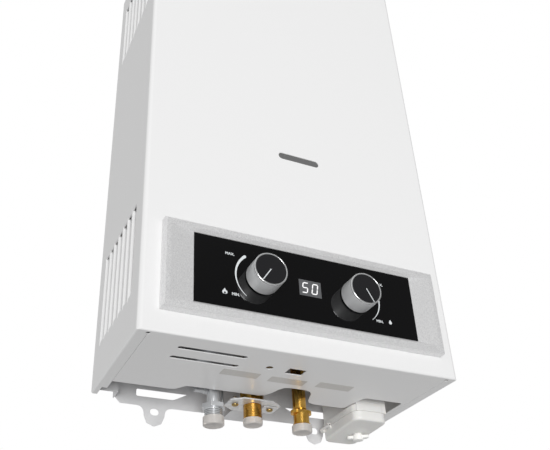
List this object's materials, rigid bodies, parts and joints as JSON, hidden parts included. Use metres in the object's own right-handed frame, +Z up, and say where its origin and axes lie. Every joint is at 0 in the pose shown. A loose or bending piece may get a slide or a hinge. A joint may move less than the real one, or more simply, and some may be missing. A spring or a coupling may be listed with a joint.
{
  "type": "tankless gas water heater",
  "caption": "Wall-hung tankless gas water heater: white louvred casing, black glass panel with knobs and display, capped pipe connections, battery box and open flue collar.",
  "frame": {"origin": "on the wall face of the rear frame, on the centreline, level with the upper hanging holes", "axes": "+X to the right seen from the front, +Y into the wall, +Z up"},
  "size_m": [0.34, 0.2048, 0.6536],
  "materials": {
    "white_enamel": "glossy white powder coat",
    "zinc_plate": "grey zinc-plated steel sheet",
    "window_glass": "clear heat-proof pane",
    "silver_paint": "silver painted moulding, fine satin grain",
    "black_glass": "glossy black panel",
    "dark_plastic": "black moulded plastic",
    "satin_metal": "satin silver",
    "aluminium": "cast and machined aluminium",
    "brass": "machined brass",
    "copper": "bare copper",
    "stainless": "bare stainless steel",
    "white_plastic": "warm white moulded plastic",
    "cap_plastic": "milky soft plastic",
    "ceramic": "white glazed ceramic"
  },
  "bodies": {
    "heater": {"front_cover": "white_enamel", "flame_window": "window_glass", "rear_frame": "zinc_plate", "cover_screw_left": "zinc_plate", "cover_screw_right": "zinc_plate", "control_bezel": "silver_paint", "glass_panel": "black_glass", "display_module": "dark_plastic", "gas_inlet": "aluminium", "inlet_tie_rod": "stainless", "pressure_tap": "aluminium", "gas_valve": "aluminium", "solenoid_valve": "stainless", "gas_riser": "aluminium", "gas_manifold": "aluminium", "burner": "stainless", "spark_electrode": "ceramic", "flame_probe": "ceramic", "cold_inlet": "brass", "water_valve": "brass", "diaphragm_cover": "brass", "microswitch": "dark_plastic", "hot_outlet": "brass", "relief_cap": "dark_plastic", "outlet_flange": "zinc_plate", "flange_clip": "zinc_plate", "outlet_screw_left": "brass", "outlet_screw_right": "brass", "combustion_chamber": "copper", "exchanger_coil": "copper", "heat_exchanger": "copper", "cold_pipe": "copper", "hot_pipe": "copper", "flue_hood": "zinc_plate", "flue_collar": "zinc_plate", "spill_thermostat": "dark_plastic", "overheat_thermostat": "dark_plastic", "igniter_box": "dark_plastic", "battery_box": "white_plastic", "battery_hinge_pin": "stainless", "battery_cell_front": "stainless", "battery_cell_rear": "stainless", "battery_contact": "brass"},
    "gas_knob": {"gas_knob": "satin_metal", "gas_knob_insert": "dark_plastic", "gas_spindle": "brass"},
    "water_knob": {"water_knob": "satin_metal", "water_knob_insert": "dark_plastic", "water_spindle": "brass"},
    "battery_door": {"battery_door": "white_plastic", "door_contact": "brass"},
    "battery_latch": {"battery_latch": "white_plastic"},
    "gas_inlet_cap": {"gas_inlet_cap": "cap_plastic"},
    "hot_outlet_cap": {"hot_outlet_cap": "cap_plastic"},
    "cold_inlet_cap": {"cold_inlet_cap": "cap_plastic"},
    "push_rod": {"push_rod": "stainless"}
  },
  "joints": [
    {"name": "gas_knob_turn", "type": "hinge", "parent": "heater", "child": "gas_knob", "pos_m": [-0.052, -0.18515, -0.4957], "axis": [0, 1, 0], "range_deg": [0, 105]},
    {"name": "water_knob_turn", "type": "hinge", "parent": "heater", "child": "water_knob", "pos_m": [0.052, -0.18515, -0.4957], "axis": [0, -1, 0], "range_deg": [0, 112]},
    {"name": "battery_door_swing", "type": "hinge", "parent": "heater", "child": "battery_door", "pos_m": [0.0989, -0.024, -0.57315], "axis": [0, 1, 0], "range_deg": [0, 90]},
    {"name": "battery_latch_turn", "type": "hinge", "parent": "battery_door", "child": "battery_latch", "pos_m": [0.1275, -0.045, -0.5868], "axis": [0, 0, 1], "range_deg": [0, 90]},
    {"name": "gas_cap_pull", "type": "slide", "parent": "heater", "child": "gas_inlet_cap", "axis": [0, 0, -1], "range_m": [0, 0.01]},
    {"name": "hot_cap_pull", "type": "slide", "parent": "heater", "child": "hot_outlet_cap", "axis": [0, 0, -1], "range_m": [0, 0.01]},
    {"name": "cold_cap_pull", "type": "slide", "parent": "heater", "child": "cold_inlet_cap", "axis": [0, 0, -1], "range_m": [0, 0.01]},
    {"name": "push_rod_slide", "type": "slide", "parent": "heater", "child": "push_rod", "axis": [-1, 0, 0], "range_m": [0, 0.004], "stiffness_N_per_m": 400}
  ]
}
